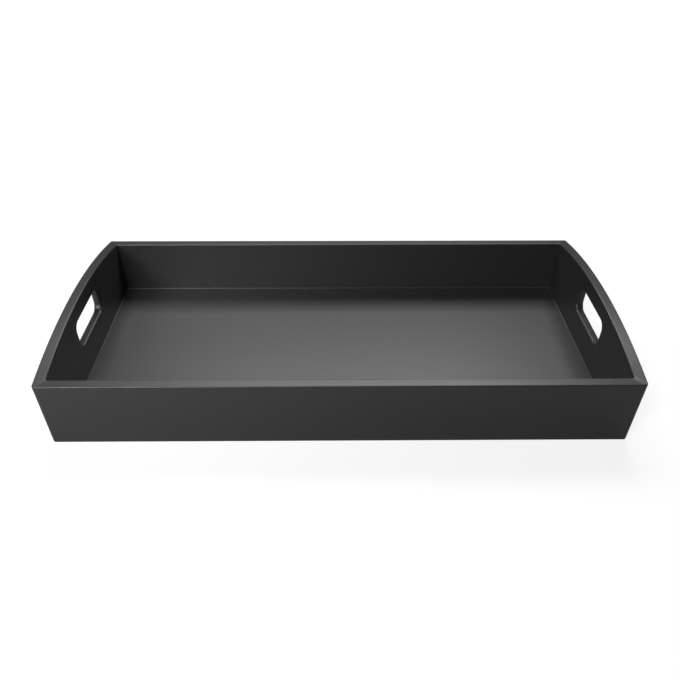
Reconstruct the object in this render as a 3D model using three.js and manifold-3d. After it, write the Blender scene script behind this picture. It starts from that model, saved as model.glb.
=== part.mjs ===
// A serving tray of bamboo boards under black lacquer: two long sides and two arched ends with hand holes,
// mitred and splined at the corners, round a floor panel that is held in grooves.
// Millimetres, +Z up. The origin is on the table under the middle of the tray, and X runs along its length.
import * as THREE from "three";
import { mergeVertices } from "three/addons/utils/BufferGeometryUtils.js";
import Module from "manifold-3d";

// Whole tray
const LENGTH = 500;
const WIDTH = 235;
const SIDE_HEIGHT = 65;
const END_RISE = 14; // height of an end's arch above the sides
const CORNER_ROUND = 2.5; // radius of the four upright outer edges

// Boards
const BOARD = 9; // thickness of the sides and ends
const RIM_ROUND = 1; // radius along both edges of the rim
const FOOT_ROUND = 1; // radius along both edges of the underside

// Floor panel
const PANEL = 5; // thickness
const PANEL_EASE = 0.5; // small chamfer round its edges
const FLOOR_HEIGHT = 8; // top of the panel above the table
const GROOVE_DEPTH = 4; // how far the panel's edges reach into the boards
const PANEL_FIT = 0.2; // clearance round the panel in its grooves

// Hand holes
const HOLE_LENGTH = 64.5;
const HOLE_HEIGHT = 26.5;
const HOLE_CORNER = 7; // radius of the opening's four corners
const HOLE_ROUND = 3; // radius rounded over on both faces of the board
const HOLE_WEB = 17.25; // wood between the opening and the crown of the arch

// Corner joints
const MITRE_GAP = 0.3; // glue line between two mitre faces
const SPLINE = 2.5; // thickness
const SPLINE_REACH = 3.5; // how far a spline enters each board
const SPLINE_INSET = 3.3; // from the tray's inner corner to the spline's middle, along the mitre
const SPLINE_STOP = 8; // wood left between a slot and the rim, and between a slot and the floor
const SPLINE_FIT = 0.2; // clearance round a spline in its slots

// Fineness of the curves
const ARCH_STEPS = 24;
const CORNER_STEPS = 4; // in the half of an upright edge that one board carries
const ARC_DIVISIONS = 2; // half the number of steps in each arc of a section
const ROUNDOVER_STEPS = 4;
const HOLE_CORNER_STEPS = 6;

const wasm = await Module();
wasm.setup();

const LACQUER = new THREE.MeshStandardMaterial({ color: 0x1d1d1e, roughness: 0.45, metalness: 0 });
const BARE_BAMBOO = new THREE.MeshStandardMaterial({ color: 0xcaa566, roughness: 0.7, metalness: 0 });

// A closed geometry as a solid that can be cut. Triangles that have shrunk to a line are dropped.
function solidOf(geometry) {
  const bare = new THREE.BufferGeometry();
  bare.setAttribute("position", geometry.getAttribute("position"));
  bare.setIndex(geometry.getIndex());
  const merged = mergeVertices(bare);
  const corners = merged.getIndex().array;
  const kept = [];
  for (let i = 0; i < corners.length; i += 3) {
    const [a, b, c] = corners.slice(i, i + 3);
    if (a !== b && b !== c && c !== a) kept.push(a, b, c);
  }
  return new wasm.Manifold(
    new wasm.Mesh({
      numProp: 3,
      vertProperties: merged.getAttribute("position").array,
      triVerts: Uint32Array.from(kept),
    }),
  );
}

function geometryOf(solid) {
  const mesh = solid.getMesh();
  const geometry = new THREE.BufferGeometry();
  geometry.setAttribute("position", new THREE.BufferAttribute(mesh.vertProperties, 3));
  geometry.setIndex(new THREE.BufferAttribute(mesh.triVerts, 1));
  return geometry;
}

// A skin over a row of rings that all follow one section, closed by a cap on the first and the last ring.
function loft(section, rings) {
  const count = section.length;
  const index = [];
  for (let r = 0; r + 1 < rings.length; r++) {
    for (let i = 0; i < count; i++) {
      const near = r * count + i;
      const beside = r * count + ((i + 1) % count);
      index.push(near, beside, near + count, beside, beside + count, near + count);
    }
  }
  const last = (rings.length - 1) * count;
  for (const [a, b, c] of THREE.ShapeUtils.triangulateShape(section, [])) {
    index.push(a, c, b);
    index.push(last + a, last + b, last + c);
  }
  const geometry = new THREE.BufferGeometry().setFromPoints(rings.flat());
  geometry.setIndex(index);
  return geometry;
}

// A board's section: x is the depth from its outer face and y the height above the table.
function boardSection() {
  const grooveTop = FLOOR_HEIGHT + PANEL_FIT;
  const grooveFoot = FLOOR_HEIGHT - PANEL - PANEL_FIT;
  const grooveBack = BOARD - GROOVE_DEPTH;
  const rim = SIDE_HEIGHT - RIM_ROUND;
  const shape = new THREE.Shape();
  shape.moveTo(BOARD - FOOT_ROUND, 0);
  shape.absarc(BOARD - FOOT_ROUND, FOOT_ROUND, FOOT_ROUND, -Math.PI / 2, 0);
  shape.lineTo(BOARD, grooveFoot);
  shape.lineTo(grooveBack, grooveFoot);
  shape.lineTo(grooveBack, grooveTop);
  shape.lineTo(BOARD, grooveTop);
  shape.lineTo(BOARD, rim);
  shape.absarc(BOARD - RIM_ROUND, rim, RIM_ROUND, 0, Math.PI / 2);
  shape.lineTo(RIM_ROUND, SIDE_HEIGHT);
  shape.absarc(RIM_ROUND, rim, RIM_ROUND, Math.PI / 2, Math.PI);
  shape.lineTo(0, FOOT_ROUND);
  shape.absarc(FOOT_ROUND, FOOT_ROUND, FOOT_ROUND, Math.PI, 1.5 * Math.PI);
  return shape.getPoints(ARC_DIVISIONS);
}

// Height of a circular arch at a distance from its middle.
function archRise(rise, halfChord, distance) {
  if (rise === 0) return 0;
  const radius = (halfChord ** 2 + rise ** 2) / (2 * rise);
  return Math.sqrt(radius ** 2 - distance ** 2) - (radius - rise);
}

// A mitred board that lies along X with its outer face towards -Y, at a distance of reach from the origin.
// The arch springs from the mitre at every depth, so that an end's rim runs level into the sides' rims.
function mitredBoard(length, reach, rise) {
  const section = boardSection();
  const half = length / 2 - MITRE_GAP / Math.SQRT2;
  // Plan of the board's right end at a depth, where turn runs from 0 at the flat face to 45 degrees.
  const endOf = (depth, turn) => {
    const radius = Math.max(CORNER_ROUND - depth, 0);
    const inset = Math.max(depth, CORNER_ROUND);
    return { along: half - inset + radius * Math.sin(turn), out: reach - inset + radius * Math.cos(turn) };
  };
  const place = (point, along, out) => {
    const springs = point.y >= SIDE_HEIGHT - RIM_ROUND;
    const chord = endOf(point.x, Math.PI / 4).along;
    const lift = springs ? archRise(rise, chord, along) : 0;
    return new THREE.Vector3(along, -out, point.y + lift);
  };
  const rightEnd = [];
  for (let i = CORNER_STEPS; i > 0; i--) {
    const turn = ((Math.PI / 4) * i) / CORNER_STEPS;
    rightEnd.push((point) => endOf(point.x, turn));
  }
  const leftEnd = rightEnd.map((end) => (point) => ({ ...end(point), along: -end(point).along }));
  const span = [];
  const spanSteps = rise > 0 ? ARCH_STEPS : 1;
  for (let i = 0; i <= spanSteps; i++) {
    const share = (2 * i) / spanSteps - 1;
    span.push((point) => ({ along: share * endOf(point.x, 0).along, out: reach - point.x }));
  }
  const stations = [...leftEnd, ...span, ...rightEnd.reverse()];
  const rings = stations.map((station) =>
    section.map((point) => place(point, station(point).along, station(point).out)),
  );
  let board = solidOf(loft(section, rings));
  for (const side of [-1, 1]) {
    const slot = splineGeometry(SPLINE_FIT).applyMatrix4(cornerPlace(length / 2, reach, side, -1));
    board = board.subtract(solidOf(slot));
  }
  return board;
}

// A spline stands on end, with its thickness along X and its reach into the two boards along Y.
function splineGeometry(clearance) {
  const foot = FLOOR_HEIGHT + SPLINE_STOP - clearance;
  const top = SIDE_HEIGHT - SPLINE_STOP + clearance;
  const radius = SPLINE / 2 + clearance;
  const depth = 2 * (SPLINE_REACH + clearance);
  const shape = new THREE.Shape();
  shape.absarc(0, foot + radius, radius, Math.PI, 2 * Math.PI);
  shape.absarc(0, top - radius, radius, 0, Math.PI);
  const options = { depth, bevelEnabled: false, curveSegments: ARC_DIVISIONS * 2 };
  const geometry = new THREE.ExtrudeGeometry(shape, options);
  return geometry.translate(0, 0, -depth / 2).rotateX(Math.PI / 2);
}

// Where a spline stands at the corner on the given sides of a frame with these half sizes.
function cornerPlace(halfLength, halfWidth, sideX, sideY) {
  const inset = BOARD - SPLINE_INSET / Math.SQRT2;
  const matrix = new THREE.Matrix4().makeRotationZ(Math.atan2(sideY, sideX));
  return matrix.setPosition(sideX * (halfLength - inset), sideY * (halfWidth - inset), 0);
}

// The cutter of a hand hole flares towards both faces, which rounds over the hole's edges.
function handHole() {
  const mouthLength = HOLE_LENGTH + 2 * HOLE_ROUND;
  const mouthHeight = HOLE_HEIGHT + 2 * HOLE_ROUND;
  const corner = HOLE_CORNER + HOLE_ROUND;
  const x = mouthLength / 2 - corner;
  const y = mouthHeight / 2 - corner;
  const shape = new THREE.Shape();
  shape.absarc(x, y, corner, 0, Math.PI / 2);
  shape.absarc(-x, y, corner, Math.PI / 2, Math.PI);
  shape.absarc(-x, -y, corner, Math.PI, 1.5 * Math.PI);
  shape.absarc(x, -y, corner, 1.5 * Math.PI, 2 * Math.PI);
  const geometry = new THREE.ExtrudeGeometry(shape, {
    depth: BOARD - 2 * HOLE_ROUND,
    bevelSize: -HOLE_ROUND,
    bevelThickness: HOLE_ROUND,
    bevelSegments: ROUNDOVER_STEPS,
    curveSegments: HOLE_CORNER_STEPS,
  });
  const middle = SIDE_HEIGHT + END_RISE - HOLE_WEB - HOLE_HEIGHT / 2;
  geometry.translate(0, 0, HOLE_ROUND - BOARD / 2).rotateX(Math.PI / 2);
  return geometry.translate(0, BOARD / 2 - LENGTH / 2, middle);
}

function floorPanel() {
  const tuck = BOARD - GROOVE_DEPTH + PANEL_FIT;
  const x = LENGTH / 2 - tuck;
  const y = WIDTH / 2 - tuck;
  const corners = [[-x, -y], [x, -y], [x, y], [-x, y]];
  const shape = new THREE.Shape(corners.map(([a, b]) => new THREE.Vector2(a, b)));
  const geometry = new THREE.ExtrudeGeometry(shape, {
    depth: PANEL - 2 * PANEL_EASE,
    bevelSize: PANEL_EASE,
    bevelOffset: -PANEL_EASE,
    bevelThickness: PANEL_EASE,
    bevelSegments: 1,
  });
  return geometry.translate(0, 0, FLOOR_HEIGHT - PANEL + PANEL_EASE);
}

const tray = new THREE.Group();

function addPiece(name, geometry, material) {
  const mesh = new THREE.Mesh(geometry, material);
  mesh.name = name;
  tray.add(mesh);
  return mesh;
}

addPiece("base_panel", floorPanel(), LACQUER);

const side = geometryOf(mitredBoard(LENGTH, WIDTH / 2, 0));
addPiece("front_side", side, LACQUER);
addPiece("back_side", side, LACQUER).rotation.z = Math.PI;

const end = geometryOf(mitredBoard(WIDTH, LENGTH / 2, END_RISE).subtract(solidOf(handHole())));
addPiece("left_end", end, LACQUER).rotation.z = -Math.PI / 2;
addPiece("right_end", end, LACQUER).rotation.z = Math.PI / 2;

const ROWS = { front: -1, back: 1 };
const COLUMNS = { left: -1, right: 1 };
for (const [row, sideY] of Object.entries(ROWS)) {
  for (const [column, sideX] of Object.entries(COLUMNS)) {
    const spline = addPiece(`mitre_spline_${row}_${column}`, splineGeometry(0), BARE_BAMBOO);
    spline.applyMatrix4(cornerPlace(LENGTH / 2, WIDTH / 2, sideX, sideY));
  }
}

export default tray;
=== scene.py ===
"""Dresses a bamboo serving tray in satin black lacquer and sets up the studio it is seen in.

The four boards are cut from one rounded frame, so that the lacquer runs unbroken round the glued mitres.
All lengths are in metres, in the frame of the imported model.
"""

import logging
import math
from dataclasses import dataclass, field
from enum import Enum
from typing import Self

import bmesh
import bpy
from mathutils import Matrix, Vector


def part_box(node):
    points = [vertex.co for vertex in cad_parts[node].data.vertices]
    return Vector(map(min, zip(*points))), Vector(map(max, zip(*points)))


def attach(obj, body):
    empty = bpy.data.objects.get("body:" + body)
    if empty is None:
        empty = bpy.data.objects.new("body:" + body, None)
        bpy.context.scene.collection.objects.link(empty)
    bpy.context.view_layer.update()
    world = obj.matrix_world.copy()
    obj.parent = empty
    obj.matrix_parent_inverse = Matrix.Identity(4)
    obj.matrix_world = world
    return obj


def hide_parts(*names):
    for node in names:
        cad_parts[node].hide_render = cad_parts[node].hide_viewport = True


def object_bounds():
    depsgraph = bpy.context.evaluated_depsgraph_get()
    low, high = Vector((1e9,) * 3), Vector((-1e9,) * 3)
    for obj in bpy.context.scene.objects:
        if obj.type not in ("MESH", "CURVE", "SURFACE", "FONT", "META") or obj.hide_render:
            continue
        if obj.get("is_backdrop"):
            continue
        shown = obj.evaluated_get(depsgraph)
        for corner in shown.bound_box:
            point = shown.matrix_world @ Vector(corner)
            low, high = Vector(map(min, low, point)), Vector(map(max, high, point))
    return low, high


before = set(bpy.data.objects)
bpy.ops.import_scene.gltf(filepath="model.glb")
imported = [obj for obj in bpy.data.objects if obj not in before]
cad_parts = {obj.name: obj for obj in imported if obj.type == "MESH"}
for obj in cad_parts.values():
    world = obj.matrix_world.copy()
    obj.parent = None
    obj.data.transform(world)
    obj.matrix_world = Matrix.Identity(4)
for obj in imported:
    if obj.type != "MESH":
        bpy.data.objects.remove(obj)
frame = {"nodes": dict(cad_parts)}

LOG = logging.getLogger("tray")
ROOT_BODY = "root"
FLOW = "flow"  # attribute that carries the frame's smooth normals to its boards
TOUCH = 1e-6  # points nearer than this count as one
LEVEL = 0.5  # a face counts as level if its normal points up or down by more than this
WHITE = (1.0, 1.0, 1.0, 1.0)

Triple = tuple[float, float, float]
Colour = tuple[float, float, float, float]
Part = bmesh.types.BMFace | bmesh.types.BMEdge | bmesh.types.BMVert
Verts = list[bmesh.types.BMVert]
Edges = list[bmesh.types.BMEdge]
Faces = list[bmesh.types.BMFace]
Socket = bpy.types.NodeSocket


class BoardPlace(Enum):
    """The four boards of the frame, each with the direction that its outer face looks in."""

    FRONT = ("front_side", (0, -1))
    BACK = ("back_side", (0, 1))
    LEFT = ("left_end", (-1, 0))
    RIGHT = ("right_end", (1, 0))

    @property
    def node(self) -> str:
        """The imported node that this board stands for."""
        return self.value[0]

    @property
    def outward(self) -> Vector:
        """Unit vector out of the board's outer face."""
        return Vector((*self.value[1], 0))

    @property
    def along(self) -> Vector:
        """Unit vector along the board."""
        return Vector((abs(self.outward.y), abs(self.outward.x), 0))

    @property
    def is_end(self) -> bool:
        """Whether the board is one of the two arched ends."""
        return self.outward.y == 0


class GrainRun(Enum):
    """Which way the bamboo's fibres run, as a turn about the upright axis."""

    ALONG_LENGTH = 0.0
    ALONG_WIDTH = math.pi / 2


class NodeBench:
    """Lays out the shader nodes of one material or of the world."""

    def __init__(self, owner: bpy.types.Material | bpy.types.World) -> None:
        """Clears the owner's nodes.

        Args:
            owner: The material or the world.
        """
        owner.use_nodes = True
        self.tree = owner.node_tree
        self.tree.nodes.clear()

    def add(self, kind: str, **values: object) -> bpy.types.Node:
        """Adds a node.

        Args:
            kind: Blender's name of the node type.
            values: Values of its input sockets, with spaces as underscores, or properties of the node.

        Returns:
            The new node.
        """
        node = self.tree.nodes.new(kind)
        for name, value in values.items():
            socket = node.inputs.get(name.replace("_", " "))
            if socket is None:
                setattr(node, name, value)
            else:
                socket.default_value = value
        return node

    def link(self, source: Socket, target: Socket) -> None:
        """Joins two sockets."""
        self.tree.links.new(source, target)

    def principled(self) -> bpy.types.NodeInputs:
        """Adds a Principled shader and shows it on the surface.

        Returns:
            The shader's input sockets.
        """
        shader = self.add("ShaderNodeBsdfPrincipled")
        output = self.add("ShaderNodeOutputMaterial")
        self.link(shader.outputs["BSDF"], output.inputs["Surface"])
        return shader.inputs

    def combine(self, operation: str, first: Socket, second: Socket) -> Socket:
        """Adds or multiplies two values.

        Args:
            operation: Blender's name of the operation.
            first: One value.
            second: The other value.

        Returns:
            The result.
        """
        node = self.add("ShaderNodeMath", operation=operation)
        self.link(first, node.inputs[0])
        self.link(second, node.inputs[1])
        return node.outputs["Value"]

    def spread(self, source: Socket, low: float, high: float, start: float = 0.0,
               end: float = 1.0) -> Socket:
        """Maps a pattern to values between two others.

        Args:
            source: The pattern.
            low: Value where the pattern is at its start, or before it.
            high: Value where the pattern is at its end, or past it.
            start: Where the change starts.
            end: Where the change ends.

        Returns:
            The mapped socket.
        """
        node = self.add("ShaderNodeMapRange", From_Min=start, From_Max=end, To_Min=low, To_Max=high)
        self.link(source, node.inputs["Value"])
        return node.outputs["Result"]

    def tint(self, source: Socket, low: Colour, high: Colour) -> Socket:
        """Maps a pattern from 0 and 1 to two colours.

        Args:
            source: The pattern.
            low: Colour where the pattern is 0.
            high: Colour where the pattern is 1.

        Returns:
            The colour socket.
        """
        node = self.add("ShaderNodeValToRGB")
        node.color_ramp.elements[0].color = low
        node.color_ramp.elements[1].color = high
        self.link(source, node.inputs["Fac"])
        return node.outputs["Color"]

    def noise(self, repeats: Triple, turn: float, detail: float, rough: float = 0.55) -> Socket:
        """Makes noise in the piece's own space.

        Args:
            repeats: Repeats per metre along, across and through the grain.
            turn: Angle of the grain about the upright axis.
            detail: Octaves of the noise.
            rough: Strength of each octave beside the one before it.

        Returns:
            The noise's value.
        """
        place = self.add("ShaderNodeTexCoord")
        turned = self.add("ShaderNodeMapping", vector_type="TEXTURE", Rotation=(0, 0, turn))
        scaled = self.add("ShaderNodeMapping", vector_type="POINT", Scale=repeats)
        noise = self.add("ShaderNodeTexNoise", Scale=1.0, Detail=detail, Roughness=rough)
        self.link(place.outputs["Object"], turned.inputs["Vector"])
        self.link(turned.outputs["Vector"], scaled.inputs["Vector"])
        self.link(scaled.outputs["Vector"], noise.inputs["Vector"])
        return noise.outputs["Fac"]

    def rays(self) -> tuple[Socket, Socket]:
        """Tells the rays apart that a backdrop answers in its own ways.

        Returns:
            Two values: 1 for a ray from the camera, and 1 for a ray from a reflection or through glass.
        """
        path = self.add("ShaderNodeLightPath").outputs
        gloss = self.combine("ADD", path["Is Glossy Ray"], path["Is Transmission Ray"])
        return path["Is Camera Ray"], gloss

    def bump(self, height: Socket, relief: float, under: Socket | None = None) -> Socket:
        """Turns a pattern into relief.

        Args:
            height: The pattern.
            relief: Height of the relief from 0 to 1 of the pattern.
            under: Normal of a coarser relief that this one lies on.

        Returns:
            The normal.
        """
        node = self.add("ShaderNodeBump", Strength=1.0, Distance=relief)
        self.link(height, node.inputs["Height"])
        if under is not None:
            self.link(under, node.inputs["Normal"])
        return node.outputs["Normal"]


@dataclass(frozen=True)
class SatinLacquer:
    """Black lacquer sprayed over bamboo, through which the fibres show only as a faint relief."""

    name: str
    grain: GrainRun
    dark: Colour = (0.0275, 0.0275, 0.0280, 1.0)
    light: Colour = (0.0325, 0.0325, 0.0330, 1.0)
    smooth: float = 0.39
    dull: float = 0.45
    index: float = 1.6
    fibre_repeats: Triple = (9.0, 620.0, 620.0)
    fibre_detail: float = 3.0
    fibre_relief: float = 0.0000012
    peel_repeats: Triple = (330.0, 330.0, 330.0)
    peel_detail: float = 1.0
    peel_relief: float = 0.0000025
    haze_repeats: Triple = (9.0, 14.0, 14.0)
    haze_detail: float = 2.0

    def material(self) -> bpy.types.Material:
        """Makes the lacquer.

        Returns:
            The material.
        """
        material = bpy.data.materials.new(self.name)
        bench = NodeBench(material)
        sockets = bench.principled()
        turn = self.grain.value
        fibre = bench.noise(self.fibre_repeats, turn, self.fibre_detail)
        peel = bench.noise(self.peel_repeats, turn, self.peel_detail)
        haze = bench.noise(self.haze_repeats, turn, self.haze_detail)
        bench.link(bench.tint(fibre, self.dark, self.light), sockets["Base Color"])
        bench.link(bench.spread(haze, self.smooth, self.dull), sockets["Roughness"])
        grain_normal = bench.bump(fibre, self.fibre_relief)
        bench.link(bench.bump(peel, self.peel_relief, grain_normal), sockets["Normal"])
        sockets["IOR"].default_value = self.index
        return material


@dataclass(frozen=True)
class BareBamboo:
    """Sawn bamboo with no finish, for the splines inside the joints."""

    name: str = "bare_bamboo"
    straw: Colour = (0.62, 0.42, 0.17, 1.0)
    brown: Colour = (0.44, 0.26, 0.09, 1.0)
    smooth: float = 0.6
    dull: float = 0.8
    fibre_repeats: Triple = (700.0, 700.0, 18.0)
    fibre_detail: float = 4.0
    fibre_relief: float = 0.00004

    def material(self) -> bpy.types.Material:
        """Makes the bamboo.

        Returns:
            The material.
        """
        material = bpy.data.materials.new(self.name)
        bench = NodeBench(material)
        sockets = bench.principled()
        fibre = bench.noise(self.fibre_repeats, GrainRun.ALONG_LENGTH.value, self.fibre_detail)
        bench.link(bench.tint(fibre, self.brown, self.straw), sockets["Base Color"])
        bench.link(bench.spread(fibre, self.smooth, self.dull), sockets["Roughness"])
        bench.link(bench.bump(fibre, self.fibre_relief), sockets["Normal"])
        return material


def new_piece(name: str, bm: bmesh.types.BMesh, material: bpy.types.Material) -> bpy.types.Object:
    """Turns a bmesh into an object of the scene.

    Args:
        name: The object's name.
        bm: The shape, which is freed.
        material: Its one material.

    Returns:
        The new object, at the origin.
    """
    mesh = bpy.data.meshes.new(name)
    bm.to_mesh(mesh)
    bm.free()
    mesh.materials.append(material)
    piece = bpy.data.objects.new(name, mesh)
    bpy.context.scene.collection.objects.link(piece)
    return piece


def weigh_normals(piece: bpy.types.Object, sharp_angle: float) -> None:
    """Smooths a piece so that its flat faces stay flat and only their rounded edges turn.

    Args:
        piece: The piece.
        sharp_angle: Bend above which an edge stays sharp.
    """
    mesh = piece.data
    mesh.polygons.foreach_set("use_smooth", [True] * len(mesh.polygons))
    mesh.set_sharp_from_angle(angle=sharp_angle)
    piece.modifiers.new("weigh", "WEIGHTED_NORMAL").keep_sharp = True


def parts_of(faces: Faces) -> list[Part]:
    """Faces with their edges and corners, each once."""
    return list({part: None for face in faces for part in (face, *face.edges, *face.verts)})


def verts_in(made: list[Part]) -> Verts:
    """The corners among what an operator made."""
    return [part for part in made if isinstance(part, bmesh.types.BMVert)]


def rounded_rectangle(bm: bmesh.types.BMesh, size: tuple[float, float], corner: float,
                      steps: int) -> bmesh.types.BMFace:
    """Draws a level rectangle with rounded corners round the origin.

    Args:
        bm: The bmesh to draw in.
        size: Length along X and Y.
        corner: Radius of its corners.
        steps: Segments in each corner.

    Returns:
        The rectangle.
    """
    corners = bmesh.ops.create_grid(bm, x_segments=1, y_segments=1, size=0.5)["verts"]
    bmesh.ops.scale(bm, vec=(*size, 1), verts=corners)
    rounded = bmesh.ops.bevel(bm, geom=corners, offset=corner, segments=steps, profile=0.5,
                              affect="VERTICES", material=-1, offset_type="OFFSET")["verts"]
    return max(rounded[0].link_faces, key=lambda f: len(f.verts))


def rounded_outline(bm: bmesh.types.BMesh, size: tuple[float, float], corner: float, steps: int,
                    place: Matrix) -> Edges:
    """Draws a rounded rectangle of bare edges.

    Args:
        bm: The bmesh to draw in.
        size: Length along the outline's own X and Y.
        corner: Radius of its corners.
        steps: Segments in each corner.
        place: Where the outline's middle goes and how it is turned.

    Returns:
        The outline's edges.
    """
    face = rounded_rectangle(bm, size, corner, steps)
    edges = list(face.edges)
    bmesh.ops.transform(bm, matrix=place, verts=list(face.verts))
    bmesh.ops.delete(bm, geom=[face], context="FACES_ONLY")
    return edges


def fill_round_hole(bm: bmesh.types.BMesh, boundary: Edges, hole: Edges, normal: Vector) -> None:
    """Fills the flat wood between a boundary and a hole in it.

    Args:
        bm: The bmesh.
        boundary: Edges round the wood.
        hole: Edges round the hole.
        normal: The way that the new faces look.
    """
    made = bmesh.ops.triangle_fill(bm, edges=boundary + hole, use_beauty=True, normal=normal)["geom"]
    for face in (part for part in made if isinstance(part, bmesh.types.BMFace)):
        face.normal_update()
        if face.normal.dot(normal) < 0:
            face.normal_flip()


def drop_leftovers(bm: bmesh.types.BMesh, faces: Faces) -> None:
    """Removes the faces that an extrusion started from, with any edge that no other face uses.

    Args:
        bm: The bmesh.
        faces: The faces, which may be gone already.
    """
    bmesh.ops.delete(bm, geom=[f for f in faces if f.is_valid], context="FACES")
    bmesh.ops.delete(bm, geom=[e for e in bm.edges if e.is_wire], context="EDGES")


@dataclass(frozen=True)
class HandHole:
    """The opening in an end that the fingers go through, rounded over on both faces of the board."""

    length: float = 0.0645
    height: float = 0.0265
    corner: float = 0.007
    roundover: float = 0.003
    web: float = 0.01725  # wood between the hole and the top of the arch
    corner_steps: int = 10
    roundover_steps: int = 6

    def rings(self, board: float) -> list[tuple[float, float]]:
        """Follows the opening through the board.

        Args:
            board: The board's thickness.

        Returns:
            Depth below the outer face and how much wider the opening is there, from face to face.
        """
        turns = [math.pi / 2 * step / self.roundover_steps for step in range(self.roundover_steps + 1)]
        outer = [(self.roundover * (1 - math.cos(t)), self.roundover * (1 - math.sin(t))) for t in turns]
        inner = [(board - depth, wider) for depth, wider in reversed(outer)]
        return outer + inner

    def outline(self, bm: bmesh.types.BMesh, wider: float, place: Matrix) -> Edges:
        """Draws the opening at one depth.

        Args:
            bm: The bmesh to draw in.
            wider: How far the outline stands outside the narrowest one.
            place: Where its middle goes and how it is turned.

        Returns:
            The outline's edges.
        """
        size = (self.length + 2 * wider, self.height + 2 * wider)
        return rounded_outline(bm, size, self.corner + wider, self.corner_steps, place)


@dataclass(frozen=True)
class SplineSlot:
    """The slot for a loose spline across a mitre, stopped short of the rim and the floor."""

    inset: float  # from the tray's inner corner to the slot's middle, along the mitre
    foot: float
    top: float
    reach: float  # how deep the spline goes into each board
    thickness: float = 0.0025
    fit: float = 0.0002
    steps: int = 6

    @classmethod
    def from_node(cls, inner_x: float) -> Self:
        """Reads a spline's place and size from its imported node.

        Args:
            inner_x: Half the room between the ends.

        Returns:
            The slot that it sits in.
        """
        low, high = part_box("mitre_spline_back_right")
        slant = (high.x - low.x) * math.sqrt(2)
        return cls(
            inset=((low.x + high.x) / 2 - inner_x) * math.sqrt(2),
            foot=low.z,
            top=high.z,
            reach=(slant - cls.thickness) / 2,
        )

    def cut(self, bm: bmesh.types.BMesh, mitre: Edges, inner_corner: Vector, outward: Vector) -> None:
        """Closes a mitre with a face that has the slot in it.

        Args:
            bm: The board.
            mitre: Open edges round the mitre.
            inner_corner: The tray's inner corner, at the height of the table.
            outward: Unit vector out of the mitre.
        """
        up = Vector((0, 0, 1))
        across = up.cross(outward)
        to_corner = -across if inner_corner.dot(across) < 0 else across
        middle = inner_corner + to_corner * self.inset + up * (self.foot + self.top) / 2
        place = Matrix.Translation(middle) @ Matrix((across, up, outward)).transposed().to_4x4()
        width = self.thickness + 2 * self.fit
        height = self.top - self.foot + 2 * self.fit
        mouth = rounded_outline(bm, (width, height), width / 2 - TOUCH, self.steps, place)
        fill_round_hole(bm, mitre, mouth, outward)
        made = bmesh.ops.extrude_edge_only(bm, edges=mouth)["geom"]
        floor = verts_in(made)
        bmesh.ops.translate(bm, vec=-outward * (self.reach + self.fit), verts=floor)
        sides = [part for part in made if isinstance(part, bmesh.types.BMEdge)]
        bmesh.ops.edgeloop_fill(bm, edges=[e for e in sides if all(v in floor for v in e.verts)])


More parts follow.
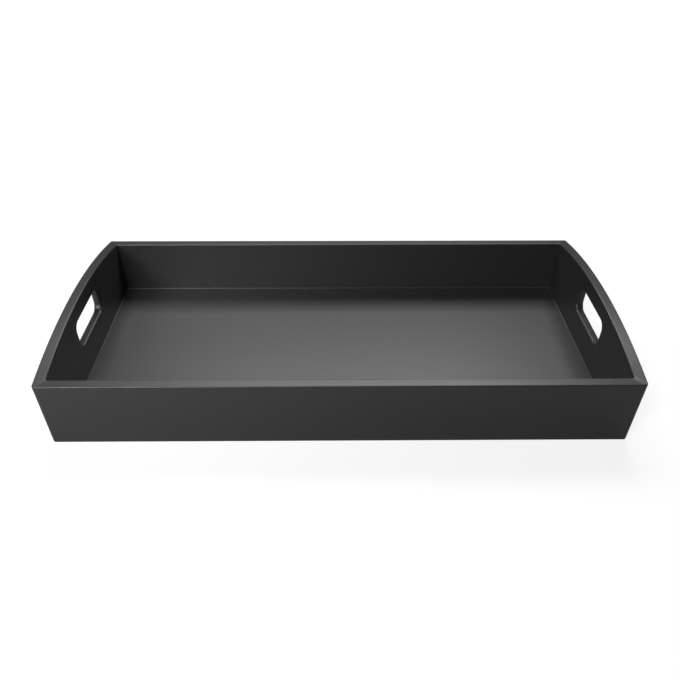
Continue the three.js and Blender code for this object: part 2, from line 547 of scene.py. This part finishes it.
@dataclass
class TrayFrame:
    """The four mitred boards round the tray, with arched ends and hand holes."""

    length: float
    width: float
    side_height: float
    end_height: float
    board: float
    floor_top: float
    panel: float
    slot: SplineSlot
    hole: HandHole = HandHole()
    corner_round: float = 0.0025
    rim_round: float = 0.001
    foot_round: float = 0.001
    fairing: float = 0.0012  # rise of an arch over which its bend at the mitre is eased
    fairing_steps: int = 3
    groove_depth: float = 0.004
    groove_fit: float = 0.0002
    arch_steps: int = 26
    corner_steps: int = 8
    rim_steps: int = 5
    foot_steps: int = 3
    sharp_angle: float = math.radians(40)
    pieces: list[bpy.types.Object] = field(default_factory=list)

    @classmethod
    def from_nodes(cls) -> Self:
        """Reads the boards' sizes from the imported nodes.

        Returns:
            The frame, not yet built.
        """
        low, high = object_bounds()
        side_low, side_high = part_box("front_side")
        panel_low, panel_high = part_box("base_panel")
        board = side_high.y - side_low.y
        return cls(
            length=high.x - low.x,
            width=high.y - low.y,
            side_height=side_high.z - side_low.z,
            end_height=high.z - low.z,
            board=board,
            floor_top=panel_high.z,
            panel=panel_high.z - panel_low.z,
            slot=SplineSlot.from_node((high.x - low.x) / 2 - board),
        )

    @property
    def inner_x(self) -> float:
        """Half the room between the ends."""
        return self.length / 2 - self.board

    @property
    def inner_y(self) -> float:
        """Half the room between the sides."""
        return self.width / 2 - self.board

    def build(self) -> None:
        """Makes the frame and cuts it into its four boards."""
        whole = self.shape()
        self.keep_normals(whole)
        for place in BoardPlace:
            grain = GrainRun.ALONG_WIDTH if place.is_end else GrainRun.ALONG_LENGTH
            lacquer = SatinLacquer(f"lacquer_{place.node}", grain).material()
            self.pieces.append(self.cut_board(whole, place, lacquer))
        bpy.data.meshes.remove(whole)

    def mount(self) -> None:
        """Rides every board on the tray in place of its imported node."""
        for piece, place in zip(self.pieces, BoardPlace):
            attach(piece, ROOT_BODY)
            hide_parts(place.node)

    def shape(self) -> bpy.types.Mesh:
        """Shapes the whole frame.

        Returns:
            The frame as one mesh.
        """
        bm = bmesh.new()
        self.draw_plan(bm)
        self.raise_plan(bm)
        self.round_edges(bm)
        self.lift_arches(bm)
        self.cut_groove(bm)
        for side in (-1, 1):
            self.cut_hand_hole(bm, side)
        bmesh.ops.recalc_face_normals(bm, faces=bm.faces)
        mesh = bpy.data.meshes.new("frame_of_boards")
        bm.to_mesh(mesh)
        bm.free()
        return mesh

    def draw_plan(self, bm: bmesh.types.BMesh) -> None:
        """Draws the boards' plan, with rounded corners, mitres and stations across the ends.

        Args:
            bm: The empty bmesh.
        """
        rounded_rectangle(bm, (self.length, self.width), self.corner_round, self.corner_steps)
        for side in (-1, 1):
            self.cut_across(bm, Vector((side * self.inner_x, 0, 0)))
            self.cut_across(bm, Vector((0, side * self.inner_y, 0)))
        well = min(bm.faces, key=lambda f: f.calc_center_median().length)
        bmesh.ops.delete(bm, geom=[well], context="FACES")
        for step in range(1, self.arch_steps):
            self.cut_across(bm, Vector((0, self.inner_y * (2 * step / self.arch_steps - 1), 0)))
        self.cut_corners(bm, shift=0.0, above=0.0)

    def cut_across(self, bm: bmesh.types.BMesh, place: Vector) -> None:
        """Cuts the plan along a line square to the boards.

        Args:
            bm: The plan.
            place: The line's nearest point to the middle.
        """
        square = (1, 0, 0) if place.x else (0, 1, 0)
        bmesh.ops.bisect_plane(bm, geom=parts_of(bm.faces), dist=TOUCH, plane_co=place, plane_no=square)

    def raise_plan(self, bm: bmesh.types.BMesh) -> None:
        """Raises the plan to the height of the sides.

        Args:
            bm: The plan.
        """
        top = bmesh.ops.extrude_face_region(bm, geom=bm.faces[:], use_keep_orig=True)["geom"]
        bmesh.ops.translate(bm, vec=(0, 0, self.side_height), verts=verts_in(top))
        bmesh.ops.recalc_face_normals(bm, faces=bm.faces)

    def cut_corners(self, bm: bmesh.types.BMesh, shift: float, above: float) -> None:
        """Cuts a line across the boards at each corner, along the mitre or beside it.

        Args:
            bm: The frame.
            shift: Distance of the line from the mitre.
            above: Height that a face has to reach to be cut.
        """
        for x in (-1, 1):
            for y in (-1, 1):
                corner = Vector((x * self.length / 2, y * self.width / 2, 0))
                across = Vector((x, -y, 0)).normalized()
                near = [f for f in bm.faces if self.is_near(f, corner)]
                high = [f for f in near if max(v.co.z for v in f.verts) >= above]
                place = corner + across * shift
                bmesh.ops.bisect_plane(bm, geom=parts_of(high), dist=TOUCH, plane_co=place, plane_no=across)

    def is_near(self, face: bmesh.types.BMFace, corner: Vector) -> bool:
        """Whether a face reaches to within two boards of a corner of the plan."""
        return any((v.co.xy - corner.xy).length < 2 * self.board for v in face.verts)

    @property
    def rise(self) -> float:
        """Height of the ends' arches above the sides."""
        return self.end_height - self.side_height

    def arch_radius(self, half_chord: float) -> float:
        """Radius of an arch with the ends' rise over half its span."""
        return (half_chord ** 2 + self.rise ** 2) / (2 * self.rise)

    @property
    def spring_slope(self) -> float:
        """Slope of the arch where it springs from the mitres, along the inner faces."""
        return self.inner_y / (self.arch_radius(self.inner_y) - self.rise)

    def lift_arches(self, bm: bmesh.types.BMesh) -> None:
        """Lifts the tops of the ends into arches that spring from the mitres.

        Args:
            bm: The frame.
        """
        reach = self.fairing / self.spring_slope / math.sqrt(2)
        for step in range(1, self.fairing_steps + 1):
            for side in (-1, 1):
                self.cut_corners(bm, side * reach * step / self.fairing_steps, above=self.side_height / 2)
        for vert in bm.verts:
            if vert.co.z > self.side_height / 2:
                vert.co.z += self.faired_rise(abs(vert.co.x), abs(vert.co.y))

    def faired_rise(self, x: float, y: float) -> float:
        """Height of the rim above the sides, with the bend at the mitres eased.

        Args:
            x: Distance of a point on the boards from the middle, along the length.
            y: The same along the width.

        Returns:
            The height.
        """
        past_x = x - self.inner_x
        past_y = y - self.inner_y
        on_end = past_x > past_y
        raw = self.arch_rise(self.inner_y + past_x, y) if on_end else self.spring_slope * (past_x - past_y)
        ease = max(self.fairing - abs(raw), 0.0) ** 2 / (4 * self.fairing)
        return max(raw, 0.0) + ease

    def arch_rise(self, half_chord: float, distance: float) -> float:
        """Height of a circular arch above its springing line.

        Args:
            half_chord: Half the arch's span.
            distance: Distance from its middle.

        Returns:
            The height, which is below 0 outside the span.
        """
        radius = self.arch_radius(half_chord)
        return math.sqrt(radius ** 2 - distance ** 2) - (radius - self.rise)

    def round_edges(self, bm: bmesh.types.BMesh) -> None:
        """Rounds both edges of the rim and of the underside.

        Args:
            bm: The frame.
        """
        rim = (True, self.rim_round, self.rim_steps)
        foot = (False, self.foot_round, self.foot_steps)
        for above, radius, steps in (rim, foot):
            arris = [e for e in bm.edges if self.is_level_arris(e, above)]
            bmesh.ops.bevel(bm, geom=arris, offset=radius, segments=steps, profile=0.5, affect="EDGES",
                            material=-1, offset_type="OFFSET", loop_slide=True)

    def is_level_arris(self, edge: bmesh.types.BMEdge, above: bool) -> bool:
        """Whether an edge parts a level face from an upright one.

        Args:
            edge: The edge.
            above: True for the rim, False for the underside.

        Returns:
            True if it is such an edge.
        """
        at_height = all((v.co.z > self.side_height / 2) if above else (v.co.z < TOUCH) for v in edge.verts)
        return at_height and sum(abs(f.normal.z) > LEVEL for f in edge.link_faces) == 1

    def cut_groove(self, bm: bmesh.types.BMesh) -> None:
        """Cuts the groove for the floor panel round the inner faces.

        Args:
            bm: The frame.
        """
        foot = self.floor_top - self.panel - self.groove_fit
        top = self.floor_top + self.groove_fit
        for z in (foot, top):
            inner = [f for f in bm.faces if self.is_inner_face(f)]
            bmesh.ops.bisect_plane(bm, geom=parts_of(inner), dist=TOUCH, plane_co=(0, 0, z),
                                   plane_no=(0, 0, 1))
        strip = [f for f in bm.faces if self.is_inner_face(f) and foot < f.calc_center_median().z < top]
        for vert in verts_in(bmesh.ops.extrude_face_region(bm, geom=strip)["geom"]):
            if abs(abs(vert.co.x) - self.inner_x) < TOUCH:
                vert.co.x += math.copysign(self.groove_depth, vert.co.x)
            if abs(abs(vert.co.y) - self.inner_y) < TOUCH:
                vert.co.y += math.copysign(self.groove_depth, vert.co.y)
        drop_leftovers(bm, strip)

    def is_inner_face(self, face: bmesh.types.BMFace) -> bool:
        """Whether a face lies flat on the inside of the frame.

        Args:
            face: The face.

        Returns:
            True if it lies on the inner face of one board.
        """
        middle = face.calc_center_median()
        on_end = all(abs(v.co.x - math.copysign(self.inner_x, middle.x)) < TOUCH for v in face.verts)
        on_side = all(abs(v.co.y - math.copysign(self.inner_y, middle.y)) < TOUCH for v in face.verts)
        return on_end or on_side

    def cut_hand_hole(self, bm: bmesh.types.BMesh, side: int) -> None:
        """Cuts a hand hole through one end.

        Args:
            bm: The frame.
            side: -1 for the left end, 1 for the right end.
        """
        middle = self.end_height - self.hole.web - self.hole.height / 2
        upright = Matrix.Rotation(math.pi / 2, 4, "Z") @ Matrix.Rotation(math.pi / 2, 4, "X")
        loops = []
        for depth, wider in self.hole.rings(self.board):
            place = Matrix.Translation((side * (self.length / 2 - depth), 0, middle)) @ upright
            loops.append(self.hole.outline(bm, wider, place))
        self.pierce(bm, side * self.length / 2, side, loops[0])
        self.pierce(bm, side * self.inner_x, -side, loops[-1])
        for near, far in zip(loops, loops[1:]):
            bmesh.ops.bridge_loops(bm, edges=near + far)

    def pierce(self, bm: bmesh.types.BMesh, x: float, facing: int, mouth: Edges) -> None:
        """Opens the flat face of an end round the mouth of its hand hole.

        Args:
            bm: The frame.
            x: Where the face is.
            facing: 1 if it looks along the length, -1 if it looks back.
            mouth: Edges of the hole's mouth.
        """
        flat = [f for f in bm.faces if all(abs(v.co.x - x) < TOUCH for v in f.verts)]
        flat = [f for f in flat if f.calc_center_median().z > self.floor_top]
        face = bmesh.ops.dissolve_faces(bm, faces=flat, use_verts=False)["region"][0]
        boundary = list(face.edges)
        bmesh.ops.delete(bm, geom=[face], context="FACES_ONLY")
        fill_round_hole(bm, boundary, mouth, Vector((facing, 0, 0)))

    def keep_normals(self, whole: bpy.types.Mesh) -> None:
        """Keeps the frame's smooth normals at each face corner, so that they run on across the mitres.

        Args:
            whole: The frame.
        """
        holder = bpy.data.objects.new("normal_holder", whole)
        bpy.context.scene.collection.objects.link(holder)
        weigh_normals(holder, self.sharp_angle)
        seen = holder.evaluated_get(bpy.context.evaluated_depsgraph_get()).data
        flow = [x for corner in seen.corner_normals for x in corner.vector]
        bpy.data.objects.remove(holder)
        whole.attributes.new(FLOW, "FLOAT_VECTOR", "CORNER").data.foreach_set("vector", flow)

    def cut_board(self, whole: bpy.types.Mesh, place: BoardPlace,
                  lacquer: bpy.types.Material) -> bpy.types.Object:
        """Cuts one board out of the frame and closes its mitres.

        Args:
            whole: The frame.
            place: Which board.
            lacquer: Its finish.

        Returns:
            The board.
        """
        bm = bmesh.new()
        bm.from_mesh(whole)
        other = [f for f in bm.faces if self.board_of(f.calc_center_median()) is not place]
        bmesh.ops.delete(bm, geom=other, context="FACES")
        finished = set(bm.faces)
        for end in (-1, 1):
            run = place.along * end
            mitre = [e for e in bm.edges if e.is_boundary and e.verts[0].co.dot(run) > 0]
            outward = (run - place.outward).normalized()
            inner = place.outward + run
            self.slot.cut(bm, mitre, Vector((inner.x * self.inner_x, inner.y * self.inner_y, 0)), outward)
        flow = bm.loops.layers.float_vector[FLOW]
        for face in set(bm.faces) - finished:
            face.smooth = False
            for corner in face.loops:
                corner[flow] = (0, 0, 0)
        bmesh.ops.recalc_face_normals(bm, faces=bm.faces)
        piece = new_piece(f"{place.node}_lacquered", bm, lacquer)
        kept = piece.data.attributes[FLOW]
        piece.data.normals_split_custom_set([tuple(corner.vector) for corner in kept.data])
        piece.data.attributes.remove(piece.data.attributes[FLOW])
        return piece

    def board_of(self, point: Vector) -> BoardPlace:
        """Tells which board a point of the frame belongs to.

        Args:
            point: The point.

        Returns:
            The board.
        """
        if self.length / 2 - abs(point.x) < self.width / 2 - abs(point.y):
            return BoardPlace.RIGHT if point.x > 0 else BoardPlace.LEFT
        return BoardPlace.BACK if point.y > 0 else BoardPlace.FRONT


@dataclass
class FloorPanel:
    """The tray's floor, held in the boards' grooves, with a bead of lacquer in the corner all round it."""

    low: Vector
    high: Vector
    wall_x: float
    ease: float = 0.0005
    ease_steps: int = 2
    bead: float = 0.0011
    bead_steps: int = 5
    bead_lip: float = 0.00008  # flat top that the bead keeps along the wall
    wall_gap: float = 0.00002
    sharp_angle: float = math.radians(50)

    def build(self) -> bpy.types.Object:
        """Makes the panel.

        Returns:
            The panel.
        """
        bm = bmesh.new()
        bmesh.ops.create_cube(bm, size=1.0)
        bmesh.ops.scale(bm, vec=self.high - self.low, verts=bm.verts)
        bmesh.ops.translate(bm, vec=(self.low + self.high) / 2, verts=bm.verts)
        bmesh.ops.bevel(bm, geom=bm.edges[:], offset=self.ease, segments=self.ease_steps, profile=0.5,
                        affect="EDGES", material=-1, offset_type="OFFSET")
        self.run_bead(bm)
        bmesh.ops.recalc_face_normals(bm, faces=bm.faces)
        lacquer = SatinLacquer("lacquer_floor", GrainRun.ALONG_LENGTH).material()
        piece = new_piece("base_panel_lacquered", bm, lacquer)
        weigh_normals(piece, self.sharp_angle)
        return piece

    def run_bead(self, bm: bmesh.types.BMesh) -> None:
        """Runs the bead of lacquer along the walls.

        Args:
            bm: The panel.
        """
        top = max((f for f in bm.faces if f.normal.z > LEVEL), key=lambda f: f.calc_area())
        tuck = self.high.x - self.ease - (self.wall_x - self.wall_gap)
        bmesh.ops.inset_region(bm, faces=[top], thickness=tuck, use_even_offset=True)
        inset = bmesh.ops.inset_region(bm, faces=[top], thickness=self.bead_lip, use_even_offset=True)
        lip = inset["faces"]
        made = bmesh.ops.extrude_face_region(bm, geom=lip)["geom"]
        bmesh.ops.translate(bm, vec=(0, 0, self.bead), verts=verts_in(made))
        drop_leftovers(bm, lip)
        hollow = self.bead - self.bead_lip
        bmesh.ops.bevel(bm, geom=list(top.edges), offset=hollow, segments=self.bead_steps, profile=0.5,
                        affect="EDGES", material=-1, offset_type="OFFSET")

    def mount(self, piece: bpy.types.Object) -> None:
        """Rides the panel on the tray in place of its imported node.

        Args:
            piece: The panel.
        """
        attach(piece, ROOT_BODY)
        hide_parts("base_panel")


@dataclass(frozen=True)
class CornerSplines:
    """The loose splines in the mitres, which stay as they were packed."""

    prefix: str = "mitre_spline"

    def dress(self, nodes: dict[str, bpy.types.Object]) -> list[bpy.types.Object]:
        """Gives the splines their bare bamboo.

        Args:
            nodes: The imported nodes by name.

        Returns:
            The splines.
        """
        bamboo = BareBamboo().material()
        splines = [node for name, node in nodes.items() if name.startswith(self.prefix)]
        for spline in splines:
            spline.data.materials.clear()
            spline.data.materials.append(bamboo)
        return splines


@dataclass(frozen=True)
class PhotoCamera:
    """A camera that stands close in front of the tray and looks down into it."""

    target: Triple = (0.000541, 0.023508, 0.0)
    distance: float = 0.657165
    azimuth: float = 0.6101
    elevation: float = 38.7404
    roll: float = 0.1923
    lens: float = 33.199
    sensor: float = 36.0

    def build(self) -> None:
        """Places the camera and makes it the scene's own."""
        data = bpy.data.cameras.new("photo_camera")
        data.lens = self.lens
        data.sensor_width = self.sensor
        data.sensor_fit = "HORIZONTAL"
        turn = math.radians(self.azimuth)
        tilt = math.radians(self.elevation)
        view = Vector((math.sin(turn) * math.cos(tilt), math.cos(turn) * math.cos(tilt), -math.sin(tilt)))
        level = view.to_track_quat("-Z", "Y")
        roll = Matrix.Rotation(math.radians(self.roll), 3, "Z").to_quaternion()
        camera = bpy.data.objects.new("photo_camera", data)
        camera.rotation_mode = "QUATERNION"
        camera.rotation_quaternion = level @ roll
        camera.location = Vector(self.target) - view * self.distance
        bpy.context.scene.collection.objects.link(camera)
        bpy.context.scene.camera = camera


@dataclass(frozen=True)
class SoftBox:
    """A soft studio lamp that looks at the tray."""

    name: str
    place: Triple
    size: tuple[float, float]
    power: float
    aim: Triple = (0.0, 0.0, 0.03)
    beam: float = math.pi

    def build(self) -> None:
        """Hangs the lamp."""
        data = bpy.data.lights.new(self.name, "AREA")
        data.shape = "RECTANGLE"
        data.size, data.size_y = self.size
        data.energy = self.power
        data.spread = self.beam
        lamp = bpy.data.objects.new(self.name, data)
        lamp.location = self.place
        lamp.rotation_mode = "QUATERNION"
        lamp.rotation_quaternion = (Vector(self.aim) - Vector(self.place)).to_track_quat("-Z", "Y")
        bpy.context.scene.collection.objects.link(lamp)


@dataclass(frozen=True)
class PaleSweep:
    """A pale floor that looks white, takes the tray's shadow and is mirrored dimly, with painted light
    brightest on the left and least on the right.
    """

    name: str = "pale_sweep"
    colour: Colour = (0.26, 0.26, 0.26, 1.0)
    rough: float = 0.9
    seen_near: float = 0.8
    seen_far: float = 1.0
    near: float = 0.35  # from the tray's middle to where the floor starts to turn whiter
    far: float = 0.9  # from the middle to where it is whitest
    # painted light: a glow that only reflections see, brighter on the left as if a lamp lit that side
    painted_glow_left: float = 0.24
    painted_glow_right: float = 0.134
    fade: float = 0.4  # to each side of the middle, where the mirrored floor stops changing

    def material(self) -> bpy.types.Material:
        """Makes the floor's paper.

        Returns:
            The material.
        """
        material = bpy.data.materials.new(self.name)
        bench = NodeBench(material)
        sockets = bench.principled()
        sockets["Base Color"].default_value = self.colour
        sockets["Roughness"].default_value = self.rough
        sockets["Emission Color"].default_value = WHITE
        place = bench.add("ShaderNodeTexCoord").outputs["Object"]
        from_camera, from_gloss = bench.rays()
        seen = bench.combine("MULTIPLY", from_camera, self.whitening(bench, place))
        # painted light: the floor glows for reflections, brighter on the left than on the right
        mirrored = bench.combine("MULTIPLY", from_gloss, self.painted_left_glow(bench, place))
        bench.link(bench.combine("ADD", seen, mirrored), sockets["Emission Strength"])
        return material

    def whitening(self, bench: NodeBench, place: Socket) -> Socket:
        """Makes the floor whiter away from the tray, where the lamps no longer reach.

        Args:
            bench: The floor's nodes.
            place: The floor's own coordinates.

        Returns:
            The strength that the camera sees.
        """
        away = bench.add("ShaderNodeVectorMath", operation="LENGTH")
        bench.link(place, away.inputs[0])
        return bench.spread(away.outputs["Value"], self.seen_near, self.seen_far, self.near, self.far)

    def painted_left_glow(self, bench: NodeBench, place: Socket) -> Socket:
        """Paints light on the mirrored floor, brighter on the left and fading to the right, as if a lamp
        lit its left side.

        Args:
            bench: The floor's nodes.
            place: The floor's own coordinates.

        Returns:
            The strength of the painted glow that the lacquer mirrors.
        """
        split = bench.add("ShaderNodeSeparateXYZ")
        bench.link(place, split.inputs["Vector"])
        across = split.outputs["X"]
        return bench.spread(across, self.painted_glow_left, self.painted_glow_right, -self.fade, self.fade)


@dataclass(frozen=True)
class Studio:
    """A pale floor in a dim room, with soft lamps behind the tray and to its front left."""

    sweep: PaleSweep = PaleSweep()
    reach: float = 6.0
    drop: float = 0.0002
    room_light: float = 0.01
    room_mirrored: float = 0.02
    room_seen: float = 0.99
    lamps: tuple[SoftBox, ...] = (
        SoftBox("back_softbox", place=(0.020, 0.700, 1.095), size=(1.08, 0.46), power=10.8),
        SoftBox("right_softbox", place=(0.360, 0.600, 1.097), size=(0.40, 0.30), power=2.2),
        SoftBox("key_softbox", place=(-0.283, -0.606, 0.743), size=(0.24, 0.24), power=4.1),
        SoftBox("side_softbox", place=(-0.45, -0.50, 0.45), size=(0.20, 0.20), power=0.255,
                aim=(-0.12, 0.108, 0.04), beam=math.radians(50)),
    )

    def build(self) -> None:
        """Makes the floor, the room and the lamps."""
        self.build_floor()
        self.build_room()
        for lamp in self.lamps:
            lamp.build()
        bpy.context.scene.view_settings.view_transform = "Standard"

    def build_floor(self) -> None:
        """Lays the floor just under the tray."""
        bm = bmesh.new()
        bmesh.ops.create_grid(bm, x_segments=1, y_segments=1, size=self.reach)
        bmesh.ops.translate(bm, vec=(0, 0, -self.drop), verts=bm.verts)
        new_piece("floor", bm, self.sweep.material())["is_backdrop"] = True

    def build_room(self) -> None:
        """Surrounds the tray with faint even light, white to the camera."""
        world = bpy.data.worlds.new("dim_room")
        bpy.context.scene.world = world
        bench = NodeBench(world)
        background = bench.add("ShaderNodeBackground", Color=WHITE)
        output = bench.add("ShaderNodeOutputWorld")
        from_camera, from_gloss = bench.rays()
        dim = bench.spread(from_gloss, self.room_light, self.room_mirrored)
        seen = bench.spread(from_camera, 0.0, self.room_seen)
        bench.link(bench.combine("ADD", dim, seen), background.inputs["Strength"])
        bench.link(background.outputs["Background"], output.inputs["Surface"])


def main() -> None:
    """Builds the tray's pieces in order, then the studio and the camera."""
    logging.basicConfig(level=logging.INFO, format="%(name)s: %(message)s")
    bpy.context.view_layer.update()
    boards = TrayFrame.from_nodes()
    boards.build()
    boards.mount()
    for piece in boards.pieces:
        LOG.info("built %s with %d faces", piece.name, len(piece.data.polygons))
    panel = FloorPanel(*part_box("base_panel"), wall_x=boards.inner_x)
    floor = panel.build()
    panel.mount(floor)
    LOG.info("built %s with %d faces", floor.name, len(floor.data.polygons))
    for spline in CornerSplines().dress(frame["nodes"]):
        LOG.info("dressed %s", spline.name)
    Studio().build()
    PhotoCamera().build()


if __name__ == "__main__":
    main()
